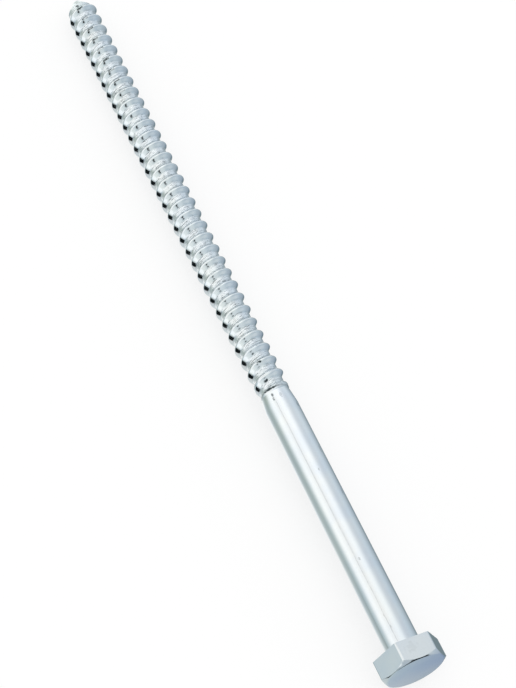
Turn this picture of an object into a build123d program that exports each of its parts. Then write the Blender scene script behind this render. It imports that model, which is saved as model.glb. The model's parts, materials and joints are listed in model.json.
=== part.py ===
from build123d import *
from math import atan2, ceil, cos, degrees, radians, sin, tan
import os

# Hexagon-head lag screw, 10 x 250 mm: one solid, modelled tip up and then laid down as it rests.
# The screw is drawn along its own axis, with the bearing face of the head at height zero, the shank
# and the thread above it and the head below. At the end it is turned onto its side.

# Head
across_flats = 16.7
head_height = 6.2
head_top_diameter = 16.3
head_chamfer_angle = 36.0
head_edge_radius = 1.2

# Plain shank
length_under_head = 246.8
shank_length = 85.3
shank_diameter = 9.65
underhead_radius = 0.6
shoulder_drop = 0.6
shoulder_taper_length = 5.8
shoulder_chamfer = 0.3

# Thread
pitch = 4.7
thread_diameter = 10.0
root_diameter = 7.95
ridge_width = 2.8
thread_start_angle = 135.0

# Point
point_angle = 72.0
tip_radius = 1.5

# How far the turned forms reach past what they trim
trim_margin = 1.0

# Worked out from the sizes above
shank_radius = shank_diameter / 2
shoulder_radius = shank_radius - shoulder_drop
thread_radius = thread_diameter / 2
root_radius = root_diameter / 2
half_point = radians(point_angle / 2)
nose_height = length_under_head - tip_radius
nose_edge = (tip_radius * cos(half_point), nose_height + tip_radius * sin(half_point))


def head() -> Part:
    """Hexagon with a turned chamfer round its top; one corner points along X."""
    blank = extrude(RegularPolygon(across_flats / 2, 6, major_radius=False), -head_height)
    corner_radius = across_flats / 2 / cos(radians(30))
    top_radius = head_top_diameter / 2
    overhang = corner_radius - top_radius + trim_margin
    skirt = -head_height + overhang * tan(radians(head_chamfer_angle))
    with BuildSketch(Plane.XZ) as turned:
        with BuildLine():
            Polyline(
                (0, 0),
                (0, -head_height),
                (top_radius, -head_height),
                (top_radius + overhang, skirt),
                (top_radius + overhang, 0),
                close=True,
            )
        make_face()
        rim = turned.vertices().sort_by_distance((top_radius, -head_height))[0]
        fillet(rim, head_edge_radius)
    return blank & revolve(turned.sketch, Axis.Z)


def shank() -> Part:
    """Plain shank: a fillet into the head, a cylinder, and a slow taper down to the thread."""
    taper_start = shank_length - shoulder_taper_length
    collar_radius = shank_radius + underhead_radius
    with BuildSketch(Plane.XZ) as profile:
        with BuildLine():
            Polyline(
                (shank_radius, underhead_radius),
                (shank_radius, taper_start),
                (shoulder_radius, shank_length),
                (0, shank_length),
                (0, -head_height / 2),
                (collar_radius, -head_height / 2),
                (collar_radius, 0),
            )
            CenterArc((collar_radius, underhead_radius), underhead_radius, 180, 90)
        make_face()
        rim = profile.vertices().sort_by_distance((shoulder_radius, shank_length))[0]
        chamfer(rim, shoulder_chamfer)
    return revolve(profile.sketch, Axis.Z)


def turn(radius: float, height: float) -> Edge:
    """One turn of a right-hand helix that starts over the X axis at the given height."""
    return Edge.make_helix(pitch, pitch, radius, center=(0, 0, height))


def thread_end(height: float) -> list[Face]:
    """Close one end of the threaded bar, where its first or last ridge crosses the X axis."""
    foot = height - ridge_width / 2
    floor = Face.make_surface_from_curves(
        Edge.make_line((0, 0, foot), (0, 0, foot + pitch)), turn(root_radius, foot)
    )
    wall = Polyline(
        (0, 0, foot),
        (root_radius, 0, foot),
        (thread_radius, 0, height),
        (root_radius, 0, height + ridge_width / 2),
        (root_radius, 0, foot + pitch),
        (0, 0, foot + pitch),
        close=True,
    )
    return [floor, Face(Wire(wall.edges()))]


def threaded_bar(start: float, turns: int) -> Solid:
    """Bar with a single-start ridge, closed by helical faces, one set of three for each turn."""
    faces = thread_end(start) + thread_end(start + turns * pitch)
    for number in range(turns):
        crest_height = start + number * pitch
        crest = turn(thread_radius, crest_height)
        lower_foot = turn(root_radius, crest_height - ridge_width / 2)
        upper_foot = turn(root_radius, crest_height + ridge_width / 2)
        next_foot = turn(root_radius, crest_height + pitch - ridge_width / 2)
        faces.append(Face.make_surface_from_curves(lower_foot, crest))
        faces.append(Face.make_surface_from_curves(crest, upper_foot))
        faces.append(Face.make_surface_from_curves(upper_foot, next_foot))
    return Solid(Shell(faces))


def point_height(radius: float) -> float:
    """Height at which the cone of the point has the given radius."""
    return nose_edge[1] - (radius - nose_edge[0]) / tan(half_point)


def thread_blank(base: float) -> Part:
    """Turned form that the thread stays inside: it runs out at the shoulder and ends in a point."""
    widest = thread_radius + trim_margin
    runout_slope = (thread_radius - shoulder_radius) / (shank_length + pitch - base)
    with BuildSketch(Plane.XZ) as profile:
        with BuildLine():
            Polyline(
                (0, length_under_head),
                (0, base),
                (shoulder_radius, base),
                (widest, base + (widest - shoulder_radius) / runout_slope),
                (widest, point_height(widest)),
                nose_edge,
            )
            CenterArc((0, nose_height), tip_radius, point_angle / 2, 90 - point_angle / 2)
        make_face()
    return revolve(profile.sketch, Axis.Z)


def thread() -> Part:
    """Threaded bar cut to its run-out and its point, and clocked to a corner of the head."""
    base = shank_length - shoulder_taper_length / 2
    below = ceil(shoulder_taper_length / pitch) + 1
    turns = ceil((length_under_head - shank_length) / pitch) + below + 1
    bar = threaded_bar(shank_length - below * pitch, turns)
    return bar.rotate(Axis.Z, thread_start_angle) & thread_blank(base)


def laid_down(screw: Part) -> Part:
    """Lay the screw on a flat of its head and on the last full crests of its thread."""
    last_full_crest = point_height(thread_radius)
    rest_tilt = degrees(atan2(across_flats / 2 - thread_radius, last_full_crest))
    lying = screw.rotate(Axis.Z, 90).rotate(Axis.Y, 90 + rest_tilt)
    box = lying.bounding_box()
    return lying.moved(Location((-box.center().X, -box.center().Y, -box.min.Z)))


def main() -> None:
    """Build the screw and write it as one file."""
    os.makedirs("parts", exist_ok=True)
    lag_screw = laid_down(head() + shank() + thread())
    lag_screw.label = "lag_screw"
    export_step(lag_screw, "parts/lag_screw.step")


if __name__ == "__main__":
    main()
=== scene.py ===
import json
import logging
from dataclasses import dataclass
from enum import Enum
from functools import reduce
from math import atan2, ceil, cos, hypot, radians, sin, sqrt, tan, tau

import bmesh
import bpy
from bmesh.types import BMEdge, BMesh, BMVert
from bpy.types import Node, NodeSocket, NodeTree
from mathutils import Matrix, Vector


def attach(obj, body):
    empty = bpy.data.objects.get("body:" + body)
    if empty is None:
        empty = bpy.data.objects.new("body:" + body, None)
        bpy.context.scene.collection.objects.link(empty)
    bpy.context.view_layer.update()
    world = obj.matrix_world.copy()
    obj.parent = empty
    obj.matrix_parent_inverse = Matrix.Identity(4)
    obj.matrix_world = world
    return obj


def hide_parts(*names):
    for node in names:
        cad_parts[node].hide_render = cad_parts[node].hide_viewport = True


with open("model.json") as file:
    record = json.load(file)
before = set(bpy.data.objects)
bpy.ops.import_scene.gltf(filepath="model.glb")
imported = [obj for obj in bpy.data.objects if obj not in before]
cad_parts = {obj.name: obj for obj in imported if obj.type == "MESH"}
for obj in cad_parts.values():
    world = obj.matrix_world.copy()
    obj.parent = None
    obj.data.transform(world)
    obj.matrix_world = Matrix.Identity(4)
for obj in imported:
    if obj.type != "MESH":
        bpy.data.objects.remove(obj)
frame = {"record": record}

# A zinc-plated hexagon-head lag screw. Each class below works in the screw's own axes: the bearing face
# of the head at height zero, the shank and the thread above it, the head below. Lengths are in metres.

log = logging.getLogger("lag_screw")

MM = 0.001
FINE_WELD = 1e-7
WELD = 1e-6
BELOW, BEYOND = -1.0, 1.0


class Body(Enum):
    """Bodies that a piece may ride on."""

    ROOT = "root"


class Slot(Enum):
    """Material slots of the record."""

    ZINC_PLATE = "zinc_plate"


def screw_axes(record: dict) -> Matrix:
    """Give the matrix from the screw's own axes to the row frame.

    Args:
        record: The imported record, whose bearing_face mount says where the head sits and how it leans.

    Returns:
        A matrix whose third axis runs from the bearing face towards the point.
    """
    mount = next(m for m in record["mounts"] if m["name"] == "bearing_face")
    along = Vector(mount["axis"]).normalized()
    corner = Vector((0.0, 1.0, 0.0))
    third = along.cross(corner).normalized()
    turned = Matrix((corner, third, along)).transposed().to_4x4()
    return Matrix.Translation(Vector(mount["pos_m"])) @ turned


def wire(bm: BMesh, points: list[tuple[float, float]]) -> list[BMVert]:
    """Draw an open outline in the plane of the axis.

    Args:
        bm: Mesh to draw in.
        points: Radius and height of each corner, in order.

    Returns:
        The new vertices, in order.
    """
    corners = [bm.verts.new((radius, 0.0, height)) for radius, height in points]
    for one, other in zip(corners, corners[1:]):
        bm.edges.new((one, other))
    return corners


def round_off(bm: BMesh, parts: list[BMVert] | list[BMEdge], reach: float, steps: int, affect: str) -> None:
    """Round corners of an open outline, or edges between faces.

    Args:
        bm: Mesh that holds them.
        parts: Vertices or edges to round.
        reach: How far each rounding reaches.
        steps: Straight pieces across each rounding.
        affect: VERTICES or EDGES.
    """
    bmesh.ops.bevel(
        bm,
        geom=parts,
        affect=affect,
        offset=reach,
        segments=steps,
        profile=0.5,
        material=-1,
        clamp_overlap=True,
    )


@dataclass
class Head:
    """Cold-headed hexagon with a turned chamfer round its top."""

    across_flats: float = 16.7 * MM
    height: float = 6.2 * MM
    top_radius: float = 8.15 * MM
    chamfer_angle: float = radians(36.0)
    rim_radius: float = 1.2 * MM
    edge_reach: float = 0.14 * MM
    edge_steps: int = 3
    crease_over: float = radians(12.0)
    upright_reach: float = 0.34 * MM
    upright_steps: int = 6
    facets: int = 96
    rim_steps: int = 4

    def build(self, bm: BMesh) -> None:
        """Build the closed head, one corner over the X axis, with every edge softened.

        Args:
            bm: Empty mesh to build in.
        """
        corner_radius = self.across_flats / 2 / cos(radians(30.0))
        bmesh.ops.create_circle(bm, cap_ends=True, segments=6, radius=corner_radius)
        prism = bmesh.ops.extrude_face_region(bm, geom=bm.faces[:])
        raised = [item for item in prism["geom"] if isinstance(item, BMVert)]
        bmesh.ops.translate(bm, verts=raised, vec=(0.0, 0.0, -self.height))
        turned = Matrix.Rotation(self.first_turn(bm), 3, "Z")
        bmesh.ops.rotate(bm, verts=bm.verts[:], cent=(0, 0, 0), matrix=turned)
        bmesh.ops.recalc_face_normals(bm, faces=bm.faces[:])
        upright = [e for e in bm.edges if abs(e.verts[0].co.z - e.verts[1].co.z) > self.height / 2]
        round_off(bm, upright, self.upright_reach, self.upright_steps, "EDGES")
        self.chamfer(bm)
        self.soften(bm)

    def first_turn(self, bm: BMesh) -> float:
        """Angle that brings a corner of the new hexagon over the X axis."""
        corner = bm.verts[:][0].co
        return -atan2(corner.y, corner.x)

    def chamfer(self, bm: BMesh) -> None:
        """Cut the turned chamfer and its rounded rim round the top, one narrow facet at a time.

        Args:
            bm: Mesh of the head.
        """
        rim_reach = self.rim_radius * tan(self.chamfer_angle / 2)
        middle = Vector((self.top_radius - rim_reach, 0.0, self.rim_radius - self.height))
        for step in range(self.rim_steps, 0, -1):
            slope = self.chamfer_angle * step / self.rim_steps
            for number in range(self.facets):
                turn = Matrix.Rotation(tau * (number + 0.5) / self.facets, 3, "Z")
                facing = Vector((sin(slope), 0.0, -cos(slope)))
                self.cut(bm, turn @ (middle + self.rim_radius * facing), turn @ facing)
        bmesh.ops.remove_doubles(bm, verts=bm.verts[:], dist=FINE_WELD)
        bmesh.ops.recalc_face_normals(bm, faces=bm.faces[:])

    def cut(self, bm: BMesh, foot: Vector, facing: Vector) -> None:
        """Cut off what lies past a plane and close the cut.

        Args:
            bm: Mesh of the head.
            foot: A point of the plane.
            facing: Its normal, towards what is cut off.
        """
        parts = bm.verts[:] + bm.edges[:] + bm.faces[:]
        cut = bmesh.ops.bisect_plane(bm, geom=parts, plane_co=foot, plane_no=facing, clear_outer=True)
        rim = [item for item in cut["geom_cut"] if isinstance(item, BMEdge)]
        if rim:
            bmesh.ops.edgeloop_fill(bm, edges=rim)

    def soften(self, bm: BMesh) -> None:
        """Round every edge where two surfaces of the head still meet sharply.

        Args:
            bm: Mesh of the head.
        """
        shared = [e for e in bm.edges if len(e.link_faces) == 2]
        creases = [e for e in shared if e.calc_face_angle() > self.crease_over]
        round_off(bm, creases, self.edge_reach, self.edge_steps, "EDGES")


@dataclass
class Shank:
    """Plain shank: a fillet under the head, a cylinder, and a slow taper down to the thread."""

    radius: float = 4.825 * MM
    length: float = 85.3 * MM
    underhead_radius: float = 0.6 * MM
    drop: float = 0.6 * MM
    taper_length: float = 5.8 * MM
    edge: float = 0.3 * MM
    fillet_share: float = 0.999
    fillet_steps: int = 6
    edge_steps: int = 4
    steps: int = 144

    def build(self, bm: BMesh) -> None:
        """Spin the shank's outline about the axis, from the bearing face to the middle of its far end.

        Args:
            bm: Empty mesh to build in.
        """
        collar = self.radius + self.underhead_radius
        end_radius = self.radius - self.drop
        outline = wire(
            bm,
            [
                (collar, 0.0),
                (self.radius, 0.0),
                (self.radius, self.underhead_radius),
                (self.radius, self.length - self.taper_length),
                (end_radius, self.length),
                (0.0, self.length),
            ],
        )
        fillet = self.underhead_radius * self.fillet_share
        round_off(bm, [outline[1]], fillet, self.fillet_steps, "VERTICES")
        round_off(bm, [outline[4]], self.edge, self.edge_steps, "VERTICES")
        bmesh.ops.spin(
            bm,
            geom=bm.verts[:] + bm.edges[:],
            cent=(0, 0, 0),
            axis=(0, 0, 1),
            dvec=(0, 0, 0),
            angle=tau,
            steps=self.steps,
            use_merge=True,
        )
        bmesh.ops.remove_doubles(bm, verts=bm.verts[:], dist=FINE_WELD)
        bmesh.ops.recalc_face_normals(bm, faces=bm.faces[:])


@dataclass
class Thread:
    """Rolled thread with a rounded crest, its run-out over the shoulder and its point."""

    start: float = 82.4 * MM
    end: float = 246.8 * MM
    pitch: float = 4.7 * MM
    crest_radius: float = 5.0 * MM
    root_radius: float = 3.94 * MM
    crest_half: float = 0.25 * MM
    foot_half: float = 1.42 * MM
    crest_reach: float = 0.2 * MM
    crest_steps: int = 3
    foot_reach: float = 0.34 * MM
    foot_steps: int = 4
    long_edge: float = 0.25 * MM
    crest_height: float = 85.3 * MM
    crest_turn: float = radians(135.0)
    start_radius: float = 4.225 * MM
    runout: float = 7.6 * MM
    half_point: float = radians(36.0)
    tip_radius: float = 1.5 * MM
    steps: int = 90

    def limit(self, height: float) -> float:
        """Give the largest radius that the thread reaches at a height.

        Args:
            height: Height above the bearing face.

        Returns:
            The radius of the turned form that the thread stays inside.
        """
        rising = (self.crest_radius - self.start_radius) / self.runout
        over_shoulder = self.start_radius + rising * (height - self.start)
        nose = self.end - self.tip_radius
        nose_edge = nose + self.tip_radius * sin(self.half_point)
        if height < nose_edge:
            side = self.tip_radius * cos(self.half_point) + (nose_edge - height) * tan(self.half_point)
        else:
            side = sqrt(max(0.0, self.tip_radius**2 - (height - nose) ** 2))
        return min(over_shoulder, side)

    def build(self, bm: BMesh) -> None:
        """Spin one pitch of the thread's outline up a helix and draw it in to its run-out and point.

        Args:
            bm: Empty mesh to build in.
        """
        below = ceil((self.crest_height - self.start) / self.pitch) + 1
        first = self.crest_height - below * self.pitch
        turns = ceil((self.end - first) / self.pitch) + 1
        half = self.pitch / 2
        outline = wire(
            bm,
            [
                (self.root_radius, first - half),
                (self.root_radius, first - self.foot_half),
                (self.crest_radius, first - self.crest_half),
                (self.crest_radius, first + self.crest_half),
                (self.root_radius, first + self.foot_half),
                (self.root_radius, first + half),
            ],
        )
        round_off(bm, outline[2:4], self.crest_reach, self.crest_steps, "VERTICES")
        round_off(bm, [outline[1], outline[4]], self.foot_reach, self.foot_steps, "VERTICES")
        long_edges = [e for e in bm.edges if e.calc_length() > self.long_edge]
        bmesh.ops.subdivide_edges(bm, edges=long_edges, cuts=1)
        bmesh.ops.spin(
            bm,
            geom=bm.verts[:] + bm.edges[:],
            cent=(0, 0, 0),
            axis=(0, 0, 1),
            dvec=(0, 0, self.pitch / self.steps),
            angle=tau,
            steps=self.steps,
        )
        one_turn = bm.verts[:] + bm.edges[:] + bm.faces[:]
        for number in range(1, turns):
            copied = bmesh.ops.duplicate(bm, geom=one_turn)["geom"]
            moved = [item for item in copied if isinstance(item, BMVert)]
            bmesh.ops.translate(bm, verts=moved, vec=(0.0, 0.0, number * self.pitch))
        bmesh.ops.remove_doubles(bm, verts=bm.verts[:], dist=WELD)
        turned = Matrix.Rotation(self.crest_turn, 3, "Z")
        bmesh.ops.rotate(bm, verts=bm.verts[:], cent=(0, 0, 0), matrix=turned)
        self.draw_in(bm)
        bmesh.ops.remove_doubles(bm, verts=bm.verts[:], dist=WELD)
        bmesh.ops.recalc_face_normals(bm, faces=bm.faces[:])

    def draw_in(self, bm: BMesh) -> None:
        """Keep every vertex inside the run-out and the point, and close both ends on the axis.

        Args:
            bm: Mesh of the thread.
        """
        for vert in bm.verts:
            radius = hypot(vert.co.x, vert.co.y)
            height = min(max(vert.co.z, self.start), self.end)
            inside = 0.0 if height != vert.co.z else min(radius, self.limit(height))
            vert.co = Vector((vert.co.x * inside / radius, vert.co.y * inside / radius, height))


def add_node(tree: NodeTree, kind: str, *values: object, **settings: object) -> Node:
    """Add a node, set its properties and feed its inputs in order.

    Args:
        tree: Node tree to add to.
        kind: Blender's name for the node's type.
        *values: A plain value, an output socket or None for each input.
        **settings: Properties of the node, such as operation.

    Returns:
        The new node.
    """
    node = tree.nodes.new(kind)
    for name, value in settings.items():
        setattr(node, name, value)
    for socket, value in zip(node.inputs, values):
        feed(tree, socket, value)
    return node


def feed(tree: NodeTree, socket: NodeSocket, value: object) -> None:
    """Set or link one input, and leave it as it is where the value is None.

    Args:
        tree: Node tree that holds the input.
        socket: The input.
        value: A plain value, an output socket or None.
    """
    if isinstance(value, NodeSocket):
        tree.links.new(value, socket)
    elif value is not None:
        socket.default_value = value


def math_node(tree: NodeTree, operation: str, *values: object, clamp: bool = False) -> NodeSocket:
    """Add a Math node, kept between 0 and 1 where clamp is set, and give its output."""
    return add_node(tree, "ShaderNodeMath", *values, operation=operation, use_clamp=clamp).outputs["Value"]


def multiply(tree: NodeTree, *factors: object) -> NodeSocket:
    """Multiply numbers and output sockets, from left to right."""
    return reduce(lambda product, factor: math_node(tree, "MULTIPLY", product, factor), factors)


def vector_node(tree: NodeTree, operation: str, *values: object) -> Node:
    """Add a Vector Math node, with a vector or an output socket for each input."""
    return add_node(tree, "ShaderNodeVectorMath", *values, operation=operation)


def scaled(tree: NodeTree, vector: NodeSocket, factor: NodeSocket) -> NodeSocket:
    """Multiply a vector or a colour by a number."""
    return vector_node(tree, "SCALE", vector, None, None, factor).outputs[0]


def split_xyz(tree: NodeTree, vector: NodeSocket) -> bpy.types.bpy_prop_collection:
    """Take a vector apart into outputs named X, Y and Z."""
    return add_node(tree, "ShaderNodeSeparateXYZ", vector).outputs


def join_xyz(tree: NodeTree, *parts: NodeSocket) -> NodeSocket:
    """Put a vector together from its X, Y and Z."""
    return add_node(tree, "ShaderNodeCombineXYZ", *parts).outputs[0]


def noise_node(tree: NodeTree, point: NodeSocket, detail: float, rough: float, **settings: object) -> Node:
    """Add a Noise Texture node of scale 1, read at a point, with so many finer layers that strong."""
    return add_node(tree, "ShaderNodeTexNoise", point, None, 1.0, detail, rough, **settings)


def blend(tree: NodeTree, share: object, one: object, other: object) -> NodeSocket:
    """Mix two colours.

    Args:
        tree: Node tree to add to.
        share: How much of the other colour there is.
        one: First colour or its socket.
        other: Second colour or its socket.

    Returns:
        The mixed colour.
    """
    mix = add_node(tree, "ShaderNodeMix", data_type="RGBA")
    for name, value in (("Factor", share), ("A", one), ("B", other)):
        feed(tree, mix.inputs[name], value)
    return mix.outputs["Result"]


class Group(Enum):
    """Names of the shared node groups."""

    PANEL = "tent_panel"
    GAP = "tent_gap"
    FIELD = "screw_field"
    CHATTER = "thread_chatter"
    DRAWN = "drawn_lines"
    MOTTLE = "plate_mottle"
    NICKS = "nicks"
    BAND = "soft_band"
    MARK = "mark"


def new_group(group: Group, inputs: dict[str, str], outputs: dict[str, str]) -> tuple:
    """Start a shader node group.

    Args:
        group: Which group it is.
        inputs: Kind of each input socket, by name: Float, Vector or Color.
        outputs: Kind of each output socket, by name.

    Returns:
        The group's tree, its input node's sockets and its output node.
    """
    tree = bpy.data.node_groups.new(group.value, "ShaderNodeTree")
    for label, kind in inputs.items():
        tree.interface.new_socket(name=label, in_out="INPUT", socket_type=f"NodeSocket{kind}")
    for label, kind in outputs.items():
        tree.interface.new_socket(name=label, in_out="OUTPUT", socket_type=f"NodeSocket{kind}")
    entry = tree.nodes.new("NodeGroupInput")
    leaving = tree.nodes.new("NodeGroupOutput")
    return tree, entry.outputs, leaving


def floats(*names: str) -> dict[str, str]:
    """Give the socket kinds of numbers, by name."""
    return dict.fromkeys(names, "Float")


def panel_group() -> NodeTree:
    """Make the group that adds one soft panel to a running sum of levels and shares.

    Returns:
        The group.
    """
    running = {"Sum": "Vector", "Share": "Float"}
    taken = {"Direction": "Vector", "Towards": "Vector", "Spread": "Float", "Level": "Color"}
    tree, given, leaving = new_group(Group.PANEL, taken | running, running)
    aligned = vector_node(tree, "DOT_PRODUCT", given["Direction"], given["Towards"]).outputs["Value"]
    off = math_node(tree, "SUBTRACT", aligned, 1.0)
    share = math_node(tree, "EXPONENT", multiply(tree, off, given["Spread"]))
    total = vector_node(tree, "ADD", scaled(tree, given["Level"], share), given["Sum"])
    tree.links.new(total.outputs[0], leaving.inputs["Sum"])
    tree.links.new(math_node(tree, "ADD", share, given["Share"]), leaving.inputs["Share"])
    return tree


def gap_group() -> NodeTree:
    """Make the group that gives how far a direction lies inside a soft-edged rectangle of the room.

    Returns:
        The group.
    """
    directions = dict.fromkeys(("Direction", "Ahead", "Aside"), "Vector")
    sizes = floats("Elevation", "Half Width", "Half Height", "Softness")
    tree, given, leaving = new_group(Group.GAP, directions | sizes, floats("Mask"))
    ahead = vector_node(tree, "DOT_PRODUCT", given["Direction"], given["Ahead"]).outputs["Value"]
    aside = vector_node(tree, "DOT_PRODUCT", given["Direction"], given["Aside"]).outputs["Value"]
    across = math_node(tree, "ABSOLUTE", math_node(tree, "ARCTAN2", aside, ahead))
    rise = math_node(tree, "ARCSINE", split_xyz(tree, given["Direction"])["Z"])
    up = math_node(tree, "ABSOLUTE", math_node(tree, "SUBTRACT", rise, given["Elevation"]))
    sides = []
    for distance, half in ((across, given["Half Width"]), (up, given["Half Height"])):
        inner = math_node(tree, "DIVIDE", math_node(tree, "SUBTRACT", half, distance), given["Softness"])
        sides.append(math_node(tree, "ADD", inner, 0.5, clamp=True))
    tree.links.new(multiply(tree, *sides), leaving.inputs["Mask"])
    return tree


def field_group(axes: Matrix, pitch: float, crest_height: float, crest_turn: float) -> NodeTree:
    """Make the group that turns a point of the piece into the screw's own terms.

    Args:
        axes: Matrix from the screw's own axes to the piece's.
        pitch: Pitch of the thread.
        crest_height: Height at which a crest passes the angle crest_turn.
        crest_turn: That angle, in radians.

    Returns:
        The group: the local point, its radius, height and turn, the phase in the thread, which is zero
        on a crest, and the direction away from the axis.
    """
    tree, given, leaving = new_group(
        Group.FIELD,
        {"Position": "Vector"},
        {"Local": "Vector", "Outward": "Vector"} | floats("Radius", "Height", "Turn", "Phase"),
    )
    inverse = axes.inverted()
    place = add_node(tree, "ShaderNodeMapping", vector_type="POINT")
    place.inputs["Location"].default_value = inverse.translation
    place.inputs["Rotation"].default_value = inverse.to_euler("XYZ")
    tree.links.new(given["Position"], place.inputs["Vector"])
    local = place.outputs["Vector"]
    split = split_xyz(tree, local)
    across = vector_node(tree, "MULTIPLY", local, (1.0, 1.0, 0.0)).outputs[0]
    turn = math_node(tree, "DIVIDE", math_node(tree, "ARCTAN2", split["Y"], split["X"]), tau)
    climbed = math_node(tree, "SUBTRACT", math_node(tree, "DIVIDE", split["Z"], pitch), turn)
    offset = crest_height / pitch - crest_turn / tau
    back = add_node(tree, "ShaderNodeMapping", vector_type="POINT")
    back.inputs["Rotation"].default_value = axes.to_euler("XYZ")
    tree.links.new(across, back.inputs["Vector"])
    results = {
        "Local": local,
        "Radius": vector_node(tree, "LENGTH", across).outputs["Value"],
        "Height": split["Z"],
        "Turn": turn,
        "Phase": math_node(tree, "FRACT", math_node(tree, "SUBTRACT", climbed, offset)),
        "Outward": vector_node(tree, "NORMALIZE", back.outputs["Vector"]).outputs[0],
    }
    for name, socket in results.items():
        tree.links.new(socket, leaving.inputs[name])
    return tree


def chatter_group() -> NodeTree:
    """Make the group of dashes that run along the thread and close up on themselves over one pitch.

    Returns:
        The group.
    """
    sizes = floats("Phase", "Along", "Drift", "Across", "Seed")
    tree, given, leaving = new_group(Group.CHATTER, {"Local": "Vector"} | sizes, floats("Value"))
    split = split_xyz(tree, given["Local"])
    angle = multiply(tree, given["Phase"], tau)
    drift = multiply(tree, split["Z"], given["Drift"])
    first = math_node(tree, "ADD", multiply(tree, split["X"], given["Along"]), drift)
    point = join_xyz(
        tree,
        math_node(tree, "ADD", first, given["Seed"]),
        multiply(tree, split["Y"], given["Along"]),
        multiply(tree, math_node(tree, "COSINE", angle), given["Across"]),
    )
    noise = noise_node(tree, point, detail=2.0, rough=0.55, noise_dimensions="4D")
    tree.links.new(multiply(tree, math_node(tree, "SINE", angle), given["Across"]), noise.inputs["W"])
    tree.links.new(noise.outputs["Fac"], leaving.inputs["Value"])
    return tree


def drawn_group() -> NodeTree:
    """Make the group of fine lines along the axis, as a drawing die leaves them.

    Returns:
        The group.
    """
    taken = {"Local": "Vector"} | floats("Across", "Along")
    tree, given, leaving = new_group(Group.DRAWN, taken, floats("Value"))
    split = split_xyz(tree, given["Local"])
    scales = (("X", "Across"), ("Y", "Across"), ("Z", "Along"))
    point = join_xyz(tree, *(multiply(tree, split[axis], given[scale]) for axis, scale in scales))
    noise = noise_node(tree, point, detail=3.0, rough=0.6)
    tree.links.new(noise.outputs["Fac"], leaving.inputs["Value"])
    return tree


def mottle_group() -> NodeTree:
    """Make the group of soft patches in the plating.

    Returns:
        The group.
    """
    taken = {"Local": "Vector"} | floats("Scale", "Low", "High")
    tree, given, leaving = new_group(Group.MOTTLE, taken, floats("Value"))
    noise = noise_node(tree, given["Local"], detail=4.0, rough=0.55)
    tree.links.new(given["Scale"], noise.inputs["Scale"])
    spread = add_node(tree, "ShaderNodeMapRange", interpolation_type="SMOOTHSTEP")
    tree.links.new(noise.outputs["Fac"], spread.inputs["Value"])
    tree.links.new(given["Low"], spread.inputs["From Min"])
    tree.links.new(given["High"], spread.inputs["From Max"])
    tree.links.new(spread.outputs["Result"], leaving.inputs["Value"])
    return tree


def nicks_group() -> NodeTree:
    """Make the group of small sparse nicks, longer along the axis than across it.

    Returns:
        The group.
    """
    hardness = 2.0
    taken = {"Local": "Vector"} | floats("Cell", "Size", "Length", "Share")
    tree, given, leaving = new_group(Group.NICKS, taken, floats("Mask"))
    split = split_xyz(tree, given["Local"])
    sizes = (given["Cell"], given["Cell"], multiply(tree, given["Cell"], given["Length"]))
    point = join_xyz(tree, *(math_node(tree, "DIVIDE", part, size) for part, size in zip(split, sizes)))
    cells = add_node(tree, "ShaderNodeTexVoronoi", feature="F1")
    cells.inputs["Scale"].default_value = 1.0
    tree.links.new(point, cells.inputs["Vector"])
    away = math_node(tree, "DIVIDE", cells.outputs["Distance"], given["Size"])
    shape = math_node(tree, "SUBTRACT", 1.0, away, clamp=True)
    tint = add_node(tree, "ShaderNodeSeparateColor")
    tree.links.new(cells.outputs["Color"], tint.inputs[0])
    chosen = math_node(tree, "LESS_THAN", tint.outputs[0], given["Share"])
    sharp = math_node(tree, "MULTIPLY", shape, hardness, clamp=True)
    tree.links.new(multiply(tree, sharp, chosen), leaving.inputs["Mask"])
    return tree


def band_group() -> NodeTree:
    """Make the group that is one between two values and fades over a given softness outside them.

    Returns:
        The group.
    """
    tree, given, leaving = new_group(Group.BAND, floats("Value", "Low", "High", "Softness"), floats("Mask"))
    sides = []
    for more, less in (("Value", "Low"), ("High", "Value")):
        inside = math_node(tree, "SUBTRACT", given[more], given[less])
        inside = math_node(tree, "DIVIDE", inside, given["Softness"])
        sides.append(math_node(tree, "ADD", inside, 1.0, clamp=True))
    tree.links.new(multiply(tree, *sides), leaving.inputs["Mask"])
    return tree


def mark_group() -> NodeTree:
    """Make the group of one ragged mark at a height and turn, given by its half height and half width.

    Returns:
        The group.
    """
    raggedness, reach, hardness = 0.9, 1.45, 2.2
    place = floats("Height", "Turn", "Ragged")
    sizes = floats("At Height", "At Turn", "Half Height", "Half Turn")
    tree, given, leaving = new_group(Group.MARK, place | sizes, floats("Mask"))
    sides = []
    for name in ("Height", "Turn"):
        away = math_node(tree, "SUBTRACT", given[name], given[f"At {name}"])
        sides.append(math_node(tree, "POWER", math_node(tree, "DIVIDE", away, given[f"Half {name}"]), 2.0))
    away = math_node(tree, "SQRT", math_node(tree, "ADD", *sides))
    ragged = math_node(tree, "MULTIPLY_ADD", given["Ragged"], raggedness, away)
    inside = math_node(tree, "SUBTRACT", reach, ragged)
    tree.links.new(math_node(tree, "MULTIPLY", inside, hardness, clamp=True), leaving.inputs["Mask"])
    return tree


def use_group(tree: NodeTree, group: NodeTree, **values: object) -> bpy.types.bpy_prop_collection:
    """Place a shared group in a tree.

    Args:
        tree: Tree that uses the group.
        group: The group.
        **values: A value or an output socket for each input, by its name with underscores.

    Returns:
        The placed group's outputs.
    """
    node = add_node(tree, "ShaderNodeGroup", node_tree=group)
    for name, value in values.items():
        feed(tree, node.inputs[name.replace("_", " ").title()], value)
    return node.outputs


@dataclass(frozen=True)
class Mark:
    """A small dark mark in the plating: its middle and half sizes, in mm and degrees, and its depth."""

    height: float
    turn: float
    half_height: float
    half_turn: float
    depth: float


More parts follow.
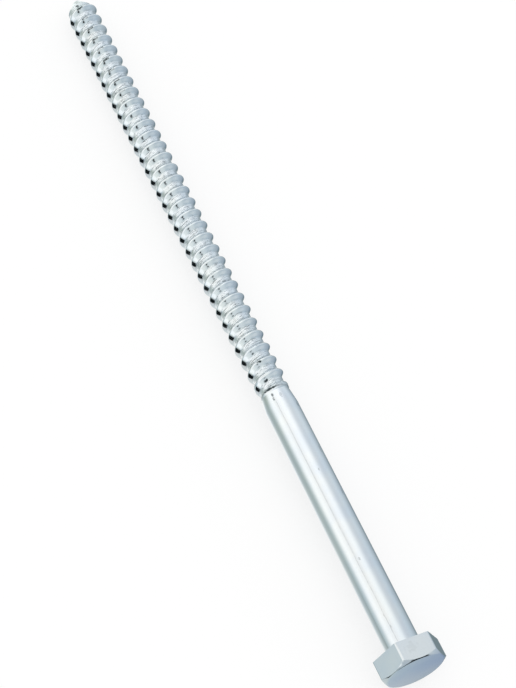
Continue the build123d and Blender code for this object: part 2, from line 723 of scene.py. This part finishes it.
MARKS = (
    # The first mark is painted shade along the shoulder's corner, on the side turned towards 62 degrees.
    Mark(84.72, 62.0, 0.36, 26.0, 1.0),
    Mark(81.15, 57.0, 0.56, 5.2, 0.95),
    Mark(82.60, 60.0, 0.56, 4.2, 0.75),
    Mark(81.60, 88.0, 0.80, 4.5, 0.26),
    Mark(87.75, 63.0, 0.40, 9.0, 1.0),
    Mark(93.75, 70.0, 0.36, 8.0, 1.0),
    Mark(97.40, 64.0, 0.36, 5.5, 0.70),
    Mark(26.60, 71.5, 0.85, 3.6, 0.28),
    Mark(77.70, 136.0, 0.80, 4.0, 0.35),
    Mark(62.00, 133.0, 1.00, 3.5, 0.25),
    Mark(47.50, 134.0, 0.90, 3.5, 0.25),
    Mark(6.00, 63.0, 0.60, 3.0, 0.28),
    Mark(9.50, 60.5, 0.50, 2.5, 0.22),
    Mark(-2.50, 84.0, 1.50, 12.0, 0.06),
    Mark(241.50, 65.0, 0.40, 11.0, 0.85),
    Mark(243.20, 84.0, 0.34, 26.0, 0.55),
    Mark(239.30, 66.0, 0.30, 9.0, 0.60),
)


@dataclass(frozen=True)
class Span:
    """Two limits, and how far outside them a mask fades."""

    low: float
    high: float
    softness: float


@dataclass(frozen=True)
class Patches:
    """Soft patches: their scale, and the levels of noise at which they start and are whole."""

    scale: float
    low: float
    high: float


@dataclass(frozen=True)
class Dashes:
    """A layer of dashes on the thread: its scales, how it shifts from turn to turn, and its seed."""

    along: float
    drift: float
    across: float
    seed: float


@dataclass(frozen=True)
class Nicks:
    """Scattered nicks: size of their cells, their own size and length, and the share of cells with one."""

    cell: float
    size: float
    length: float
    share: float


@dataclass(frozen=True)
class Surface:
    """The material's tree and what its effects share."""

    tree: NodeTree
    field: bpy.types.bpy_prop_collection
    band: NodeTree
    drawn: NodeTree

    def within(self, value: NodeSocket, span: Span) -> NodeSocket:
        """Give one where a value lies in a span."""
        return use_group(self.tree, self.band, value=value, **vars(span))["Mask"]


@dataclass(frozen=True)
class ZincPlate:
    """Bright zinc plating: faintly mottled, with the marks of drawing and of thread rolling, and with
    painted shade and painted reflection in its colour.
    """

    name: str = "zinc_plate"
    colour: tuple[float, float, float] = (0.82, 0.845, 0.865)
    cool: tuple[float, float, float] = (0.775, 0.815, 0.865)
    # Dark colour of the marks and nicks, and of the painted shade and painted reflection.
    grime: tuple[float, float, float] = (0.06, 0.075, 0.08)
    # Painted shade on the head's sides: its tint and how much of it is mixed in.
    side_tint: tuple[float, float, float] = (0.3, 0.36, 0.38)
    side_share: float = 0.09
    roughness: float = 0.10
    rougher: float = 0.20
    fine_wear: float = 0.45
    head_height: float = 6.2 * MM
    shank_length: float = 85.3 * MM
    pitch: float = 4.7 * MM
    crest_turn: float = radians(135.0)
    patches: tuple[Patches, Patches] = (Patches(140.0, 0.35, 0.65), Patches(1000.0, 0.36, 0.68))
    head_sides: Span = Span(0.1 * MM - head_height, 0.0, 0.05 * MM)
    thread_heights: Span = Span(shank_length, BEYOND, 1.2 * MM)
    root_phases: Span = Span(0.08, 0.70, 0.09)
    # Painted shade: the root's rolling marks are darkened fully on the side turned 36 to 100 degrees, and a
    # quarter as much elsewhere.
    worked_turns: Span = Span(36.0 / 360, 100.0 / 360, 0.07)
    worked_least: float = 0.25
    dashes: tuple[Dashes, Dashes] = (Dashes(260.0, 150.0, 3.2, 3.0), Dashes(1000.0, 450.0, 6.5, 11.0))
    dash_low: float = 0.33
    dash_high: float = 0.67
    chatter_depth: float = 0.055 * MM
    fleck_dashes: Span = Span(BELOW, 0.20, 0.12)
    fleck_depth: float = 0.75
    # Painted reflection: dark dashes on the crests near the point, on the side turned 61 to 82 degrees,
    # standing for dark surroundings mirrored there.
    burr_phases: Span = Span(0.415, 0.545, 0.02)
    burr_turns: Span = Span(61.0 / 360, 82.0 / 360, 0.012)
    burr_heights: Span = Span(208.0 * MM, 242.0 * MM, 10.0 * MM)
    burr_dashes: Span = Span(BELOW, 0.50, 0.08)
    nicks: Nicks = Nicks(2.6 * MM, 0.12, 2.2, 0.14)
    nick_darkness: float = 0.3
    nick_depth: float = 0.05 * MM
    # Painted shade: a dark line in the corner where the shoulder meets the thread, its depth and how it is
    # broken up.
    shoulder_grime: Span = Span(84.55 * MM, 84.95 * MM, 0.18 * MM)
    shoulder_depth: float = 0.5
    shoulder_breaks: float = 0.3
    marks: tuple[Mark, ...] = MARKS
    line_turn: float = 61.5 / 360.0
    line_width: float = 1.1 / 360.0
    line_turns: Span = Span(line_turn - line_width / 2, line_turn + line_width / 2, 0.0035)
    line_heights: Span = Span(1.0 * MM, shank_length - 6.0 * MM, 3.0 * MM)
    line_sway: float = 0.016
    line_sway_scale: float = 90.0
    line_depth: float = 0.10
    line_breaks: float = 0.16
    drawn_across: float = 1500.0
    drawn_along: float = 18.0
    drawn_depth: float = 0.004 * MM
    crown: float = 0.14
    crown_radius: float = 8.0 * MM
    top_thickness: float = 0.02 * MM

    def build(self, axes: Matrix) -> bpy.types.Material:
        """Make the material.

        Args:
            axes: Matrix from the screw's own axes to the piece's.

        Returns:
            The finished material.
        """
        material = bpy.data.materials.new(self.name)
        material.use_nodes = True
        tree = material.node_tree
        shader = tree.nodes["Principled BSDF"]
        shader.inputs["Metallic"].default_value = 1.0
        position = add_node(tree, "ShaderNodeTexCoord").outputs["Object"]
        group = field_group(axes, self.pitch, self.shank_length, self.crest_turn)
        on = Surface(tree, use_group(tree, group, position=position), band_group(), drawn_group())
        height, turn = on.field["Height"], on.field["Turn"]
        group, local = mottle_group(), on.field["Local"]
        soft, fine = (use_group(tree, group, local=local, **vars(size))["Value"] for size in self.patches)
        thread = on.within(height, self.thread_heights)
        # Painted shade: the root's dark flecks are strongest on one side of the screw.
        shaded_side = on.within(turn, self.worked_turns)
        shaded_side = math_node(tree, "MULTIPLY_ADD", shaded_side, 1.0 - self.worked_least, self.worked_least)
        root = multiply(tree, on.within(on.field["Phase"], self.root_phases), thread, shaded_side)
        chatter = self.chatter(on)
        # Marks and nicks together with the painted shade and painted reflection.
        dark = math_node(tree, "MAXIMUM", self.flecks(on, root, chatter), self.spots(on, fine))
        colour = blend(tree, soft, (*self.colour, 1.0), (*self.cool, 1.0))
        # Painted shade: the head's sides are tinted darker and bluer than its top.
        sides = multiply(tree, on.within(height, self.head_sides), self.side_share)
        colour = blend(tree, sides, colour, (*self.side_tint, 1.0))
        tree.links.new(blend(tree, dark, colour, (*self.grime, 1.0)), shader.inputs["Base Color"])
        worn = math_node(tree, "MAXIMUM", multiply(tree, fine, self.fine_wear), dark)
        rough = math_node(tree, "MULTIPLY_ADD", worn, self.rougher - self.roughness, self.roughness)
        tree.links.new(rough, shader.inputs["Roughness"])
        rolled = multiply(tree, chatter, root)
        tree.links.new(self.relief(on, thread, rolled, dark), shader.inputs["Normal"])
        return material

    def chatter(self, on: Surface) -> NodeSocket:
        """Give the dashes that rolling leaves along the thread.

        Args:
            on: The surface that is drawn.

        Returns:
            Their level, from 0 to 1.
        """
        group = chatter_group()
        local, phase = on.field["Local"], on.field["Phase"]
        given = ({"local": local, "phase": phase} | vars(layer) for layer in self.dashes)
        coarse, fine = (use_group(on.tree, group, **values)["Value"] for values in given)
        mixed = math_node(on.tree, "MULTIPLY_ADD", fine, 0.5, multiply(on.tree, coarse, 0.5))
        spread = add_node(on.tree, "ShaderNodeMapRange")
        on.tree.links.new(mixed, spread.inputs["Value"])
        spread.inputs["From Min"].default_value = self.dash_low
        spread.inputs["From Max"].default_value = self.dash_high
        return spread.outputs["Result"]

    def flecks(self, on: Surface, root: NodeSocket, chatter: NodeSocket) -> NodeSocket:
        """Give the dark flecks of the thread: rolling marks in its root, darkened on one side as painted
        shade, and painted dark reflections on its crests near the point.

        Args:
            on: The surface that is drawn.
            root: One in the thread's root.
            chatter: The dashes.

        Returns:
            How dark the flecks are, from 0 to 1.
        """
        tree, field = on.tree, on.field
        low = multiply(tree, on.within(chatter, self.fleck_dashes), root, self.fleck_depth)
        shifted = math_node(tree, "FRACT", math_node(tree, "ADD", field["Phase"], 0.5))
        # Painted reflection of dark surroundings on the crests near the point.
        crest_reflection = multiply(
            tree,
            on.within(shifted, self.burr_phases),
            on.within(field["Turn"], self.burr_turns),
            on.within(field["Height"], self.burr_heights),
            on.within(chatter, self.burr_dashes),
        )
        return math_node(tree, "MAXIMUM", low, crest_reflection)

    def spots(self, on: Surface, ragged: NodeSocket) -> NodeSocket:
        """Give the placed marks, the scattered nicks, the painted shade in the shoulder's corner and the
        line along the shank.

        Args:
            on: The surface that is drawn.
            ragged: Fine noise that breaks the marks' outlines.

        Returns:
            How dark they are, from 0 to 1.
        """
        tree, height, turn = on.tree, on.field["Height"], on.field["Turn"]
        nicks = use_group(tree, nicks_group(), local=on.field["Local"], **vars(self.nicks))["Mask"]
        # Painted shade in the shoulder's corner, broken up by fine noise.
        broken = math_node(tree, "MULTIPLY_ADD", ragged, -self.shoulder_breaks, self.shoulder_depth)
        corner = multiply(tree, on.within(height, self.shoulder_grime), broken)
        total = math_node(tree, "MAXIMUM", multiply(tree, nicks, self.nick_darkness), corner)
        group = mark_group()
        for mark in self.marks:
            place = {"at_height": mark.height * MM, "at_turn": mark.turn / 360.0}
            sizes = {"half_height": mark.half_height * MM, "half_turn": mark.half_turn / 360.0}
            mask = use_group(tree, group, height=height, turn=turn, ragged=ragged, **place, **sizes)["Mask"]
            total = math_node(tree, "MAXIMUM", total, multiply(tree, mask, mark.depth))
        scales = {"across": 0.0, "along": self.line_sway_scale}
        sway = use_group(tree, on.drawn, local=on.field["Local"], **scales)["Value"]
        middle = math_node(tree, "SUBTRACT", turn, self.line_sway / 2)
        bent = math_node(tree, "MULTIPLY_ADD", sway, self.line_sway, middle)
        faint = math_node(tree, "MULTIPLY_ADD", ragged, self.line_breaks, self.line_depth)
        along = on.within(height, self.line_heights)
        line = multiply(tree, on.within(bent, self.line_turns), along, faint)
        return math_node(tree, "MAXIMUM", total, line)

    def relief(self, on: Surface, thread: NodeSocket, chatter: NodeSocket, dark: NodeSocket) -> NodeSocket:
        """Give the normal: drawn lines on head and shank, dashes on the thread, sunk marks, a crowned top.

        Args:
            on: The surface that is drawn.
            thread: One on the thread.
            chatter: The dashes.
            dark: How dark the marks are.

        Returns:
            The normal.
        """
        tree = on.tree
        sizes = {"across": self.drawn_across, "along": self.drawn_along}
        drawn = use_group(tree, on.drawn, local=on.field["Local"], **sizes)["Value"]
        layers = (
            (multiply(tree, drawn, math_node(tree, "SUBTRACT", 1.0, thread)), self.drawn_depth),
            (chatter, self.chatter_depth),
            (math_node(tree, "SUBTRACT", 1.0, dark), self.nick_depth),
        )
        normal = self.crowned(on)
        for height, depth in layers:
            bump = add_node(tree, "ShaderNodeBump")
            bump.inputs["Strength"].default_value = 1.0
            bump.inputs["Distance"].default_value = depth
            tree.links.new(height, bump.inputs["Height"])
            tree.links.new(normal, bump.inputs["Normal"])
            normal = bump.outputs["Normal"]
        return normal

    def crowned(self, on: Surface) -> NodeSocket:
        """Lean the normals of the head's top outwards, more towards its rim.

        Args:
            on: The surface that is drawn.

        Returns:
            The normal, unchanged away from the head's top.
        """
        tree = on.tree
        top = math_node(tree, "LESS_THAN", on.field["Height"], self.top_thickness - self.head_height)
        rim = math_node(tree, "DIVIDE", on.field["Radius"], self.crown_radius)
        lean = scaled(tree, on.field["Outward"], multiply(tree, rim, self.crown, top))
        plain = add_node(tree, "ShaderNodeNewGeometry").outputs["Normal"]
        leaned = vector_node(tree, "ADD", plain, lean).outputs[0]
        return vector_node(tree, "NORMALIZE", leaned).outputs[0]


@dataclass
class LagScrew:
    """The whole screw: head, shank and thread in one mesh."""

    head: Head
    shank: Shank
    thread: Thread
    plate: ZincPlate
    smooth_under: float = radians(38.0)
    facing_over: float = 0.99

    def build(self, place: Matrix) -> bpy.types.Object:
        """Build the screw, lay it where the frame has it and let it stand for the CAD node.

        Args:
            place: Matrix from the screw's own axes to the row frame.

        Returns:
            The finished object.
        """
        body = bmesh.new()
        self.head.build(body)
        log.info("head: %d faces", len(body.faces))
        shank = bmesh.new()
        self.shank.build(shank)
        log.info("shank: %d faces", len(shank.faces))
        self.join(body, shank)
        self.seat(body)
        thread = bmesh.new()
        self.thread.build(thread)
        log.info("thread: %d faces", len(thread.faces))
        self.join(body, thread)
        bmesh.ops.transform(body, matrix=place, verts=body.verts[:])
        mesh = bpy.data.meshes.new("lag_screw_steel")
        body.to_mesh(mesh)
        body.free()
        mesh.shade_smooth()
        mesh.set_sharp_from_angle(angle=self.smooth_under)
        screw = bpy.data.objects.new("lag_screw_steel", mesh)
        bpy.context.scene.collection.objects.link(screw)
        mesh.materials.append(self.plate.build(place))
        weighting = screw.modifiers.new("even_normals", "WEIGHTED_NORMAL")
        weighting.keep_sharp = True
        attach(screw, Body.ROOT.value)
        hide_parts("lag_screw")
        log.info("lag screw: %d triangles", sum(len(p.vertices) - 2 for p in mesh.polygons))
        return screw

    def join(self, body: BMesh, other: BMesh) -> None:
        """Add one mesh to another and free it.

        Args:
            body: Mesh that grows.
            other: Mesh to add.
        """
        mesh = bpy.data.meshes.new("passing")
        other.to_mesh(mesh)
        other.free()
        body.from_mesh(mesh)
        bpy.data.meshes.remove(mesh)

    def seat(self, body: BMesh) -> None:
        """Open the bearing face of the head round the shank's fillet and bridge the two.

        Args:
            body: Mesh of the head and the shank.
        """
        bearing = max((f for f in body.faces if f.normal.z > self.facing_over), key=lambda f: f.calc_area())
        outer = bearing.edges[:]
        bmesh.ops.delete(body, geom=[bearing], context="FACES_ONLY")
        inner = [e for e in body.edges if e.is_boundary and e not in outer]
        bmesh.ops.bridge_loops(body, edges=outer + inner)
        bmesh.ops.recalc_face_normals(body, faces=body.faces[:])


def heading(azimuth: float, elevation: float) -> Vector:
    """Give the unit vector of a direction in the room, from its azimuth and elevation in degrees."""
    turn, rise = radians(azimuth), radians(elevation)
    return Vector((cos(rise) * cos(turn), cos(rise) * sin(turn), sin(rise)))


@dataclass(frozen=True)
class Panel:
    """One soft panel of the light tent: where it hangs, in degrees, and its level."""

    azimuth: float
    elevation: float
    level: tuple[float, float, float]


@dataclass(frozen=True)
class Gap:
    """A place where the tent is open or a strip crosses it, with its sizes in degrees."""

    azimuth: float
    elevation: float
    half_width: float
    half_height: float
    softness: float
    level: tuple[float, float, float]
    depth: float = 1.0


TENT = (
    Panel(0.0, 90.0, (0.87, 0.94, 0.91)),
    Panel(0.0, 50.0, (1.35, 1.35, 1.35)),
    Panel(60.0, 50.0, (1.05, 1.04, 1.00)),
    Panel(120.0, 50.0, (0.53, 0.63, 0.65)),
    Panel(-180.0, 50.0, (0.78, 0.85, 0.85)),
    Panel(-120.0, 50.0, (0.42, 0.52, 0.58)),
    Panel(-60.0, 50.0, (0.65, 0.70, 0.74)),
    Panel(0.0, 15.0, (0.53, 0.69, 0.69)),
    Panel(45.0, 15.0, (1.28, 1.31, 1.27)),
    Panel(90.0, 15.0, (1.20, 1.19, 1.17)),
    Panel(135.0, 15.0, (0.95, 1.00, 0.96)),
    Panel(-180.0, 15.0, (0.60, 0.65, 0.69)),
    Panel(-135.0, 15.0, (0.74, 0.80, 0.82)),
    Panel(-90.0, 15.0, (0.46, 0.57, 0.64)),
    Panel(-45.0, 15.0, (0.84, 0.92, 0.97)),
    Panel(0.0, -15.0, (1.16, 1.24, 1.16)),
    Panel(45.0, -15.0, (0.31, 0.37, 0.30)),
    Panel(90.0, -15.0, (0.57, 0.70, 0.78)),
    Panel(135.0, -15.0, (0.56, 0.63, 0.60)),
    Panel(-180.0, -15.0, (0.46, 0.54, 0.60)),
    Panel(-135.0, -15.0, (0.54, 0.62, 0.69)),
    Panel(-90.0, -15.0, (0.42, 0.49, 0.54)),
    Panel(-45.0, -15.0, (0.48, 0.55, 0.60)),
    Panel(0.0, -50.0, (1.35, 1.35, 1.34)),
    Panel(60.0, -50.0, (0.49, 0.56, 0.56)),
    Panel(120.0, -50.0, (0.77, 0.78, 0.77)),
    Panel(-180.0, -50.0, (0.55, 0.66, 0.67)),
    Panel(-120.0, -50.0, (0.25, 0.33, 0.49)),
    Panel(-60.0, -50.0, (0.11, 0.17, 0.18)),
    Panel(0.0, -90.0, (0.74, 0.79, 0.78)),
)

GAPS = (
    Gap(88.0, -34.0, 20.0, 9.0, 8.0, (0.16, 0.19, 0.18), 0.6),
    Gap(132.0, 1.0, 30.0, 11.0, 7.0, (1.25, 1.28, 1.26), 0.75),
    Gap(126.5, -32.5, 42.5, 15.0, 2.0, (0.006, 0.009, 0.01)),
    Gap(157.0, 43.5, 8.0, 6.5, 2.0, (0.01, 0.012, 0.012)),
    Gap(49.0, 44.0, 2.0, 14.0, 4.0, (0.62, 0.66, 0.66), 0.4),
    Gap(-162.0, -20.0, 14.0, 24.0, 3.0, (0.02, 0.025, 0.03)),
    Gap(-48.0, -16.0, 9.0, 13.0, 5.0, (0.24, 0.30, 0.33), 0.55),
)


@dataclass
class Studio:
    """Pale floor, soft light and camera."""

    camera_place: Vector
    camera_forward: Vector
    camera_up: Vector
    panels: tuple[Panel, ...] = TENT
    gaps: tuple[Gap, ...] = GAPS
    spread: float = 14.0
    level: float = 1.0
    floor_colour: tuple[float, float, float, float] = (0.97, 0.97, 0.97, 1.0)
    floor_glow: float = 0.7
    glow_strength: float = 1.02
    focal_length: float = 95.54
    sensor_width: float = 36.0
    clip_start: float = 0.01
    floor_half: float = 3.0

    def build(self) -> None:
        """Set up the studio."""
        self.build_camera()
        self.build_floor()
        self.build_world()
        bpy.context.scene.view_settings.view_transform = "Standard"

    def build_camera(self) -> None:
        """Place the camera and make it the scene's."""
        data = bpy.data.cameras.new("camera")
        data.sensor_fit = "AUTO"
        data.sensor_width = self.sensor_width
        data.lens = self.focal_length
        data.clip_start = self.clip_start
        camera = bpy.data.objects.new("camera", data)
        back = -self.camera_forward.normalized()
        right = self.camera_up.cross(back).normalized()
        up = back.cross(right)
        turned = Matrix((right, up, back)).transposed().to_4x4()
        camera.matrix_world = Matrix.Translation(self.camera_place) @ turned
        bpy.context.scene.collection.objects.link(camera)
        bpy.context.scene.camera = camera

    def build_floor(self) -> None:
        """Lay the floor."""
        bm = bmesh.new()
        bmesh.ops.create_grid(bm, x_segments=1, y_segments=1, size=self.floor_half)
        mesh = bpy.data.meshes.new("floor")
        bm.to_mesh(mesh)
        bm.free()
        floor = bpy.data.objects.new("floor", mesh)
        bpy.context.scene.collection.objects.link(floor)
        mesh.materials.append(self.floor_finish())
        floor.visible_glossy = False

    def floor_finish(self) -> bpy.types.Material:
        """Make the pale floor: it keeps a faint shadow and glows white to the rays that see it.

        Returns:
            The floor's material.
        """
        material = bpy.data.materials.new("pale_floor")
        material.use_nodes = True
        tree = material.node_tree
        shader = tree.nodes["Principled BSDF"]
        shader.inputs["Base Color"].default_value = self.floor_colour
        shader.inputs["Roughness"].default_value = 1.0
        shader.inputs["Specular IOR Level"].default_value = 0.0
        glow = add_node(tree, "ShaderNodeEmission")
        glow.inputs["Strength"].default_value = self.glow_strength
        rays = add_node(tree, "ShaderNodeLightPath").outputs
        seen = math_node(tree, "MAXIMUM", rays["Is Camera Ray"], rays["Is Glossy Ray"])
        seen = math_node(tree, "MAXIMUM", seen, rays["Is Transmission Ray"])
        mix = add_node(tree, "ShaderNodeMixShader")
        tree.links.new(multiply(tree, seen, self.floor_glow), mix.inputs["Fac"])
        tree.links.new(shader.outputs[0], mix.inputs[1])
        tree.links.new(glow.outputs[0], mix.inputs[2])
        tree.links.new(mix.outputs[0], tree.nodes["Material Output"].inputs["Surface"])
        return material

    def build_world(self) -> None:
        """Hang the tent round the screw: metal shows its panels, the floor takes even light from it."""
        world = bpy.data.worlds.new("studio")
        bpy.context.scene.world = world
        world.use_nodes = True
        tree = world.node_tree
        even = tree.nodes["Background"]
        even.inputs["Color"].default_value = (1.0, 1.0, 1.0, 1.0)
        even.inputs["Strength"].default_value = self.level
        seen = add_node(tree, "ShaderNodeBackground")
        tree.links.new(self.tent(tree), seen.inputs["Color"])
        rays = add_node(tree, "ShaderNodeLightPath")
        mix = add_node(tree, "ShaderNodeMixShader")
        tree.links.new(rays.outputs["Is Glossy Ray"], mix.inputs["Fac"])
        tree.links.new(even.outputs[0], mix.inputs[1])
        tree.links.new(seen.outputs[0], mix.inputs[2])
        tree.links.new(mix.outputs[0], tree.nodes["World Output"].inputs["Surface"])

    def tent(self, tree: NodeTree) -> NodeSocket:
        """Blend the panels softly into each other and cut the gaps.

        Args:
            tree: The world's node tree.

        Returns:
            The colour that metal sees in each direction.
        """
        direction = add_node(tree, "ShaderNodeTexCoord").outputs["Generated"]
        group = panel_group()
        total, share = None, None
        for panel in self.panels:
            hung = {"towards": heading(panel.azimuth, panel.elevation), "level": (*panel.level, 1.0)}
            running = {"spread": self.spread, "sum": total, "share": share}
            added = use_group(tree, group, direction=direction, **hung, **running)
            total, share = added["Sum"], added["Share"]
        colour = vector_node(tree, "DIVIDE", total, share).outputs[0]
        group = gap_group()
        for gap in self.gaps:
            sides = {"ahead": heading(gap.azimuth, 0.0), "aside": heading(gap.azimuth + 90.0, 0.0)}
            names = ("elevation", "half_width", "half_height", "softness")
            sizes = {name: radians(getattr(gap, name)) for name in names}
            mask = use_group(tree, group, direction=direction, **sides, **sizes)["Mask"]
            colour = blend(tree, multiply(tree, mask, gap.depth), colour, (*gap.level, 1.0))
        return colour


def main() -> None:
    """Build the screw and its studio."""
    logging.basicConfig(level=logging.INFO, format="%(name)s: %(message)s")
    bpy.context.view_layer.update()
    screw = LagScrew(Head(), Shank(), Thread(), ZincPlate())
    screw.build(screw_axes(frame["record"]))
    studio = Studio(
        camera_place=Vector((-0.26848, 0.16310, 0.44112)),
        camera_forward=Vector((0.47452, -0.31340, -0.82255)),
        camera_up=Vector((0.78625, -0.26940, 0.55612)),
    )
    studio.build()


if __name__ == "__main__":
    main()
